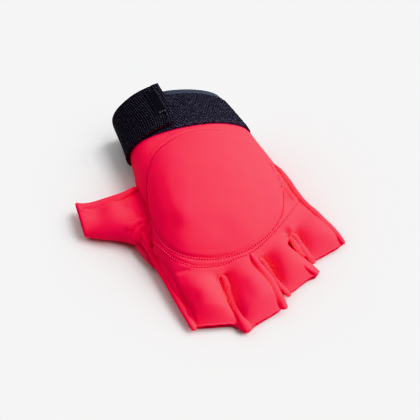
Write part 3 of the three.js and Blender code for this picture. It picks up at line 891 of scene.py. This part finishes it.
def band_places(turn, share, low, high, off):
    x = np.zeros(np.broadcast(turn, share).shape)
    for _ in range(6):
        y = (low[0] + low[1] * x) * (1 - share) + (high[0] + high[1] * x) * share
        x, z = wrist_section(turn, y, off)
    return np.stack(np.broadcast_arrays(x, y, z), axis=-1)


def band_surface(span, low, high, off, spacing):
    """A grid of points on a band, evenly spaced along and across, with its lengths in millimetres."""
    fine = np.linspace(span[0], span[1], 600)
    stand = off(fine) if callable(off) else np.full(600, off)
    middle = band_places(fine, 0.5, low, high, stand)
    length = lengths_along(middle)
    steps = max(8, round(length[-1] / spacing))
    turns = np.interp(np.linspace(0, length[-1], steps + 1), length, fine)
    stand = np.interp(turns, fine, stand)
    width = np.linalg.norm(band_places(fine[300], 1.0, low, high, stand[0])
                           - band_places(fine[300], 0.0, low, high, stand[0]))
    rows = max(4, round(width / spacing))
    shares = np.linspace(0, 1, rows + 1)
    grid = band_places(turns[:, None], shares[None, :], low, high, stand[:, None])
    along = np.gradient(grid, axis=0)
    across = np.gradient(grid, axis=1)
    out = np.cross(across, along)
    out /= np.linalg.norm(out, axis=2)[:, :, None]
    if ((grid - WRIST_MIDDLE) * out * (1, 0, 1)).sum() < 0:
        out = -out
    return {"grid": grid, "out": out, "length": length[-1], "width": width}


def on_band(surface, along, across):
    """Points and outward directions at millimetres along and across a band."""
    grid = surface["grid"]
    i = np.clip(np.asarray(along) / surface["length"], 0, 1) * (grid.shape[0] - 1)
    j = np.clip(np.asarray(across) / surface["width"], 0, 1) * (grid.shape[1] - 1)
    i0 = np.minimum(i.astype(int), grid.shape[0] - 2)
    j0 = np.minimum(j.astype(int), grid.shape[1] - 2)
    s, t = (i - i0)[:, None], (j - j0)[:, None]
    found = []
    for field in (grid, surface["out"]):
        found.append(
            field[i0, j0] * (1 - s) * (1 - t) + field[i0 + 1, j0] * s * (1 - t)
            + field[i0, j0 + 1] * (1 - s) * t + field[i0 + 1, j0 + 1] * s * t
        )
    return found


def band_piece(name, surface, thick, rounding, relief=None):
    """A band modelled from a grid: laid on the wrist, given its thickness and rounded along its edges."""
    grid, out = surface["grid"], surface["out"]
    across = grid.shape[1]
    bpy.ops.mesh.primitive_grid_add(x_subdivisions=across - 1, y_subdivisions=grid.shape[0] - 1, size=1)
    band = bpy.context.object
    band.name = name
    band.data.uv_layers[0].name = "cloth"
    flat = rows_of(band.data.vertices, "co", 3) + 0.5
    i = np.rint(flat[:, 1] * (grid.shape[0] - 1)).astype(int)
    j = np.rint(flat[:, 0] * (across - 1)).astype(int)
    places = grid[i, j] + out[i, j] * thick / 2
    if relief is not None:
        moved = relief(flat[:, 1] * surface["length"], flat[:, 0] * surface["width"])
        places = places + out[i, j] * moved[:, None]
    put_points(band, places)
    layer = band.data.uv_layers["cloth"].uv
    values = rows_of(layer, "vector", 2)[:, ::-1] * (surface["length"], surface["width"])
    layer.foreach_set("vector", values.ravel())
    if (normals_of(band) * out[i, j]).sum() < 0:
        band.data.flip_normals()
    wall = band.modifiers.new("wall", "SOLIDIFY")
    wall.thickness = thick * MM
    wall.offset = 0
    edge = band.modifiers.new("rounded edge", "BEVEL")
    edge.width = rounding * MM
    edge.segments = 3
    edge.limit_method = "ANGLE"
    edge.angle_limit = math.radians(50)
    apply_modifiers(band)
    return band


def tube_faces(base, rings, sides):
    """The faces of a closed tube whose rings of corners follow each other from a base number."""
    faces = []
    for ring in range(rings - 1):
        for turn in range(sides):
            a = base + ring * sides + turn
            b = base + ring * sides + (turn + 1) % sides
            faces.append((a, b, b + sides, a + sides))
    faces.append(tuple(base + turn for turn in reversed(range(sides))))
    faces.append(tuple(base + (rings - 1) * sides + turn for turn in range(sides)))
    return faces


def stitches(name, places, outs, thread, slot, pitch, length, radius, lift):
    """A row of short raised threads that dip into the cloth at both ends."""
    travelled = lengths_along(places)
    count = int(travelled[-1] / pitch)
    shares = np.linspace(-0.5, 0.5, 5)
    sizes = np.array((0.35, 0.85, 1, 0.85, 0.35)) * radius
    rises = np.array((-0.7, 0.1, 0.35, 0.1, -0.7)) * radius + lift
    sides = 6
    corners, faces = [], []
    for stitch in range(count):
        middle = (stitch + 0.5) * pitch
        at = middle + shares * length
        centre = np.stack([np.interp(at, travelled, places[:, axis]) for axis in range(3)], axis=1)
        out = np.stack([np.interp(at, travelled, outs[:, axis]) for axis in range(3)], axis=1)
        ahead = centre[-1] - centre[0]
        ahead /= np.linalg.norm(ahead)
        base = len(corners)
        for ring in range(len(shares)):
            side = np.cross(ahead, out[ring])
            side /= np.linalg.norm(side)
            up = np.cross(side, ahead)
            hub = centre[ring] + out[ring] * rises[ring]
            for turn in range(sides):
                angle = 2 * math.pi * turn / sides
                corners.append(hub + sizes[ring] * (math.cos(angle) * side + math.sin(angle) * up))
        faces += tube_faces(base, len(shares), sides)
    return closed_mesh(name, corners, faces, thread, slot)


def closed_mesh(name, corners, faces, fabric, slot):
    mesh = bpy.data.meshes.new(name)
    mesh.from_pydata(((np.array(corners) + HAND_IN_PART) * MM).tolist(), [], faces)
    layer = mesh.uv_layers.new(name="cloth")
    ends = rows_of(mesh.loops, "vertex_index", 1, np.int64)[:, 0]
    plan = np.array(corners)[ends][:, :2]
    layer.uv.foreach_set("vector", plan.ravel())
    work = bmesh.new()
    work.from_mesh(mesh)
    bmesh.ops.recalc_face_normals(work, faces=work.faces)
    work.to_mesh(mesh)
    work.free()
    return finished(object_of(mesh, name), fabric, slot)


def seam_threads(cover):
    """Stitches along the cover's seams, on the outermost surface below each point of the line."""
    for name, knots, closed in THREAD_LINES:
        route = smooth_route(knots, 400 if closed else 200, closed)[:, :2]
        places, outs = [], []
        for x, y in route:
            hits = [met_from_above(tree, x, y) for tree in cover]
            hits = [hit for hit in hits if hit[0] is not None]
            if not hits:
                continue
            best = max(hits, key=lambda hit: hit[0].z)
            places.append(np.array(best[0]) / MM - HAND_IN_PART)
            outs.append(np.array(best[1]))
        places, outs = np.array(places), np.array(outs)
        for _ in range(6):
            outs[1:-1] = (outs[:-2] + outs[1:-1] + outs[2:]) / 3
        outs /= np.linalg.norm(outs, axis=1)[:, None]
        stitches(name, places, outs, red_thread, "cover_fabric", **STITCH)
        # Small dark pieces between the stitches stand in for the needle holes: painted shade
        starts = int(round(STITCH["pitch"] / 2 / (np.linalg.norm(places[1] - places[0]) + 1e-9)))
        places, outs = places[starts:], outs[starts:]
        stitches(name + "_holes", places, outs, hole_shade, "cover_fabric", **HOLE)


def loop_pile(name, surface, fabric, slot):
    """The patch's pile: small arcs of thread in uneven rows."""
    draw = np.random.default_rng(11)
    rows = int((surface["width"] - 1.6) / LOOP_GAP)
    count = int((surface["length"] - 1.6) / LOOP_GAP)
    along, across = np.meshgrid(np.arange(count) * LOOP_GAP + 0.9, np.arange(rows) * LOOP_GAP + 0.9)
    shifted = along + LOOP_GAP / 2 * (np.arange(rows) % 2)[:, None]
    along = (shifted + draw.normal(0, LOOP_SCATTER, along.shape)).ravel()
    across = (across + draw.normal(0, LOOP_SCATTER, across.shape)).ravel()
    along = np.clip(along, 0.6, surface["length"] - 0.6)
    across = np.clip(across, 0.6, surface["width"] - 0.6)
    feet, outs = on_band(surface, along, across)
    ahead = on_band(surface, along + 0.4, across)[0] - on_band(surface, along - 0.4, across)[0]
    ahead /= np.linalg.norm(ahead, axis=1)[:, None]
    sideways = np.cross(outs, ahead)
    turn = draw.normal(0.5, 0.55, len(along))[:, None]
    turned = ahead * np.cos(turn) + sideways * np.sin(turn)
    sideways = sideways * np.cos(turn) - ahead * np.sin(turn)
    ahead = turned
    rise = draw.uniform(0.65, 1.15, len(along))[:, None] * LOOP_RISE
    reach = draw.uniform(0.3, 0.46, len(along))[:, None]
    lean = draw.normal(0, 0.16, len(along))[:, None]
    places = np.linspace(0, math.pi, 5)
    corners = []
    for place in places:
        hub = feet - ahead * reach * math.cos(place) + outs * rise * math.sin(place)
        hub = hub + sideways * lean * math.sin(place) + outs * (PATCH_THICK - 0.12)
        spread = outs * math.sin(place) - ahead * math.cos(place)
        for angle in (math.pi / 2, math.pi * 7 / 6, math.pi * 11 / 6):
            corners.append(hub + LOOP_THREAD * (math.sin(angle) * spread + math.cos(angle) * sideways))
    corners = np.stack(corners, axis=1).reshape(-1, 3)
    faces = []
    for loop in range(len(along)):
        faces += tube_faces(loop * len(places) * 3, len(places), 3)
    return closed_mesh(name, corners, faces, fabric, slot)


def strap_stand_off(turn):
    """How far the strap's inner face stands off the wrist, by its place round it in turns."""
    turns, offs = zip(*STRAP_STAND_OFF)
    fine = np.linspace(turns[0], turns[-1], 400)
    level = np.interp(fine, turns, offs)
    kernel = np.ones(21) / 21
    level = np.convolve(np.pad(level, 10, "edge"), kernel, "valid")
    return np.interp(turn, fine, level)


def strap_relief(along, across):
    """The folded hem at the tab's end, a slight bow across, and the seam where the hem is sewn down."""
    hem = 0.5 * (1 - ramp(along, HEM_WIDTH - 0.3, HEM_WIDTH + 0.5))
    hem = hem - 0.35 * bump(along - HEM_WIDTH - 0.4, 0.5)
    edges = -0.25 * (bump(across, 1.2) + bump(across - BAND_WIDTH, 1.2))
    return hem + edges


def cuff_relief(along, across):
    """The seam where the cuff joins the cover, and the groove along the patch's outer edge."""
    return -0.5 * bump(across - 1.0, 1.0) - 0.4 * bump(across - (BAND_WIDTH - PATCH_MARGIN), 0.8)


def cuff_piece():
    low = (CUFF_EDGE[0] + 0.3, CUFF_EDGE[1])
    surface = band_surface(CUFF_SPAN, low, CUFF_END, -CUFF_WALL, spacing=0.9)
    cuff = band_piece("wrist_cuff", surface, CUFF_WALL, CUFF_ROUNDING, cuff_relief)
    finished(cuff, cuff_fabric, "cuff_fabric", "cuff")


def patch_on_cuff():
    """The loop patch, with its pile and the stitches along its outer edge."""
    low = (CUFF_EDGE[0] + 0.8, CUFF_EDGE[1])
    high = (CUFF_END[0] - PATCH_MARGIN, CUFF_END[1])
    surface = band_surface(PATCH_SPAN, low, high, 0.1, spacing=0.8)
    patch = band_piece("loop_backing", surface, PATCH_THICK, THIN_ROUNDING)
    finished(patch, loop_fabric, "loop_fabric", "loop_patch")
    pile = loop_pile("loop_pile", surface, loop_fabric, "loop_fabric")
    line = np.linspace(1.0, surface["length"] - 1.0, 200)
    places, outs = on_band(surface, line, np.full(200, surface["width"] - 0.7))
    stitches("patch_thread", places, outs, dark_thread, "loop_fabric", **PATCH_STITCH)


def strap_round_wrist():
    surface = band_surface(STRAP_SPAN, STRAP_EDGE, STRAP_END, strap_stand_off, spacing=0.6)
    strap = band_piece("strap", surface, STRAP_THICK, STRAP_ROUNDING, strap_relief)
    finished(strap, elastic, "elastic", "wrist_strap")
    across = np.linspace(1.2, surface["width"] - 1.2, 120)
    for name, along in (("hem_thread_outer", 1.0), ("hem_thread_inner", HEM_WIDTH - 0.9)):
        places, outs = on_band(surface, np.full(120, along), across)
        stitches(name, places, outs, dark_thread, "elastic", **HEM_STITCH)


def hook_under_tab():
    low = (STRAP_EDGE[0] + 1, STRAP_EDGE[1])
    high = (CUFF_END[0] - PATCH_MARGIN - 0.5, CUFF_END[1])
    surface = band_surface(HOOK_SPAN, low, high, HOOK_STAND_OFF, spacing=0.8)
    hook = band_piece("hook_backing", surface, HOOK_THICK, THIN_ROUNDING)
    finished(hook, hook_tape, "hook_tape", "hook_tab")


def label_on_strap():
    """A bare woven label, sewn on near the tab's end, with its cut ends turned under."""
    off = STRAP_STAND_OFF[0][1] + STRAP_THICK - LABEL_SINK
    surface = band_surface(LABEL_SPAN, LABEL_EDGE, LABEL_END, off, spacing=0.4)

    def puffed(along, across):
        side = np.minimum(along, surface["length"] - along)
        end = np.minimum(across, surface["width"] - across)
        raised = 0.16 * ramp(side, 0.4, 2.2) * ramp(end, 0.4, 2.2)
        return raised - 0.14 * bump(np.minimum(side, end) - 1.1, 0.4)

    label = band_piece("woven_label", surface, LABEL_THICK, THIN_ROUNDING, puffed)
    finished(label, label_fabric, "label_fabric", "strap_label")
    long, wide = surface["length"], surface["width"]
    for name, start, end, thread in (
        ("label_thread_low", (1.0, 1.1), (long - 1.0, 1.1), pale_thread),
        ("label_thread_high", (1.0, wide - 1.1), (long - 1.0, wide - 1.1), dark_thread),
        ("label_thread_tab", (1.0, 1.5), (1.0, wide - 1.5), dark_thread),
        ("label_thread_side", (long - 1.0, 1.5), (long - 1.0, wide - 1.5), dark_thread),
    ):
        share = np.linspace(0, 1, 60)
        along = start[0] + (end[0] - start[0]) * share
        across = start[1] + (end[1] - start[1]) * share
        places, outs = on_band(surface, along, across)
        stitches(name, places, outs, thread, "label_fabric", **LABEL_STITCH)


# The stage: a pale floor, soft light and the camera

def floor():
    bpy.ops.mesh.primitive_plane_add(size=FLOOR_SIDE, location=(0, 0, 0))
    plane = bpy.context.object
    plane.name = "floor"
    plane.data.materials.append(floor_paint())


def direction(azimuth, rise):
    """The direction with an azimuth, which is 0 along +X and 90 along +Y, and a height, in degrees."""
    turn, lift = math.radians(azimuth), math.radians(rise)
    return Vector((math.cos(turn) * math.cos(lift), math.sin(turn) * math.cos(lift), math.sin(lift)))


def sun(name, strength, azimuth, rise, spread, glossy):
    light = bpy.data.lights.new(name, "SUN")
    light.energy = strength
    light.angle = math.radians(spread)
    lamp = bpy.data.objects.new(name, light)
    bpy.context.collection.objects.link(lamp)
    lamp.visible_glossy = glossy
    lamp.rotation_euler = direction(azimuth, rise).to_track_quat("Z", "Y").to_euler()


def room_light(strength, colour):
    world = bpy.data.worlds.new("studio")
    world.use_nodes = True
    world.node_tree.nodes["Background"].inputs["Color"].default_value = (*colour, 1)
    world.node_tree.nodes["Background"].inputs["Strength"].default_value = strength
    world.cycles_visibility.glossy = False
    bpy.context.scene.world = world


def camera():
    """The camera, turned about the glove's middle and set over by a few pixels."""
    lens = bpy.data.cameras.new("camera")
    lens.lens = CAMERA_LENS
    lens.shift_x = -AIM_PIXELS[0] / FRAME_PIXELS
    lens.shift_y = AIM_PIXELS[1] / FRAME_PIXELS
    lens.clip_start = 0.05
    view = bpy.data.objects.new("camera", lens)
    bpy.context.collection.objects.link(view)
    turn, lift = math.radians(CAMERA_AZIMUTH), math.radians(CAMERA_RISE)
    back = Vector((math.sin(turn) * math.cos(lift), -math.cos(turn) * math.cos(lift), math.sin(lift)))
    view.location = Vector(CAMERA_AIM) + back * CAMERA_AWAY
    view.rotation_euler = back.to_track_quat("Z", "Y").to_euler()
    bpy.context.scene.camera = view


floor()
room_light(ROOM_LIGHT, (1, 1, 1))
for values in SUNS:
    sun(*values)
camera()
bpy.context.scene.view_settings.view_transform = "Khronos PBR Neutral"

cover_pieces()
thumb_piece()
for name, form in ROLLED_EDGES.items():
    rolled_edge(name, **form)
cuff_piece()
patch_on_cuff()
strap_round_wrist()
label_on_strap()
hook_under_tab()
